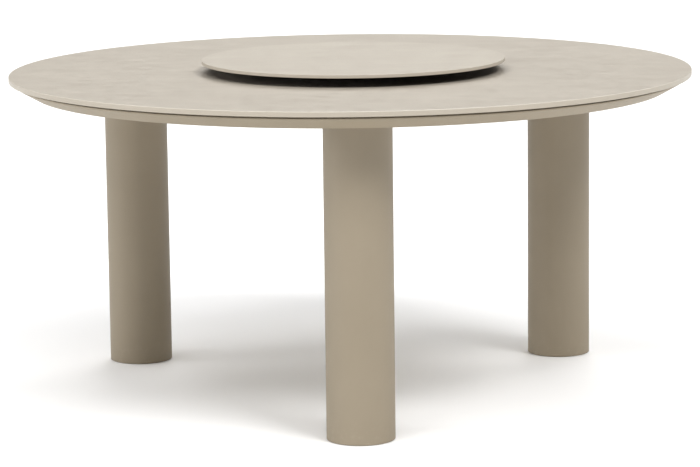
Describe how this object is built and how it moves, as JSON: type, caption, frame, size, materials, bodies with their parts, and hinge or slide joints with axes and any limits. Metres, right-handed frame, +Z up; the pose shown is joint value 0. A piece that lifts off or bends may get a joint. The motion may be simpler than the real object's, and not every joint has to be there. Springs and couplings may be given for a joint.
{
  "type": "dining table with lazy susan",
  "caption": "Round stone-topped dining table on tubular legs, with a bevelled metal rim under the top and a low free-standing turntable on it.",
  "frame": {"origin": "on the floor, on the table's vertical axis", "axes": "+Z up, -Y towards the front leg, +X to the right of someone who faces the front leg"},
  "size_m": [1.5998, 1.5998, 0.78],
  "materials": {
    "sintered_stone_top": "satin",
    "sintered_stone_disc": "satin",
    "powder_coat": "satin",
    "clear_silicone": "satin",
    "black_rubber": "matte",
    "brass": "satin",
    "zinc_plated_steel": "satin",
    "black_nylon": "matte",
    "anodised_aluminium": "satin",
    "bearing_steel": "polished"
  },
  "bodies": {
    "table": {"tabletop_slab": "sintered_stone_top", "rim_ring": "powder_coat", "fixing_tabs": "powder_coat", "hub_tube": "powder_coat", "hub_plate": "powder_coat", "arm_front": "powder_coat", "arm_front_right": "powder_coat", "arm_rear_right": "powder_coat", "arm_rear": "powder_coat", "arm_rear_left": "powder_coat", "arm_front_left": "powder_coat", "mounting_plate_front": "powder_coat", "mounting_plate_rear_right": "powder_coat", "mounting_plate_rear_left": "powder_coat", "leg_front": "powder_coat", "leg_rear_right": "powder_coat", "leg_rear_left": "powder_coat", "leg_cap_front": "powder_coat", "leg_cap_rear_right": "powder_coat", "leg_cap_rear_left": "powder_coat", "leg_base_front": "powder_coat", "leg_base_rear_right": "powder_coat", "leg_base_rear_left": "powder_coat", "slab_pads": "clear_silicone", "screw_washers": "black_rubber", "slab_inserts": "brass", "fixing_screws": "zinc_plated_steel", "leg_bolts": "zinc_plated_steel", "bolt_washers": "zinc_plated_steel", "foot_nuts": "zinc_plated_steel"},
    "foot_front": {"foot_stud_front": "zinc_plated_steel", "foot_pad_front": "black_nylon"},
    "foot_rear_right": {"foot_stud_rear_right": "zinc_plated_steel", "foot_pad_rear_right": "black_nylon"},
    "foot_rear_left": {"foot_stud_rear_left": "zinc_plated_steel", "foot_pad_rear_left": "black_nylon"},
    "turntable_base": {"fixed_race": "anodised_aluminium", "rubber_feet": "black_rubber"},
    "turntable_top": {"turntable_disc": "sintered_stone_disc", "bond_pads": "clear_silicone", "turning_race": "anodised_aluminium"},
    "ball_ring": {"race_balls": "bearing_steel", "ball_cage": "black_nylon"}
  },
  "joints": [
    {"name": "foot_front_screw", "type": "slide", "parent": "table", "child": "foot_front", "axis": [0, 0, 1], "range_m": [-0.01, 0]},
    {"name": "foot_rear_right_screw", "type": "slide", "parent": "table", "child": "foot_rear_right", "axis": [0, 0, 1], "range_m": [-0.01, 0]},
    {"name": "foot_rear_left_screw", "type": "slide", "parent": "table", "child": "foot_rear_left", "axis": [0, 0, 1], "range_m": [-0.01, 0]},
    {"name": "turntable_lift", "type": "slide", "parent": "table", "child": "turntable_base", "axis": [0, 0, 1], "range_m": [0, 0.15]},
    {"name": "turntable_spin", "type": "hinge", "parent": "turntable_base", "child": "turntable_top", "pos_m": [0.007, -0.038, 0.76225], "axis": [0, 0, 1], "continuous": true},
    {"name": "ball_ring_spin", "type": "hinge", "parent": "turntable_base", "child": "ball_ring", "pos_m": [0.007, -0.038, 0.76225], "axis": [0, 0, 1], "continuous": true}
  ],
  "couplings": [
    {"joint": "ball_ring_spin", "follows": "turntable_spin", "ratio": 0.50904}
  ]
}
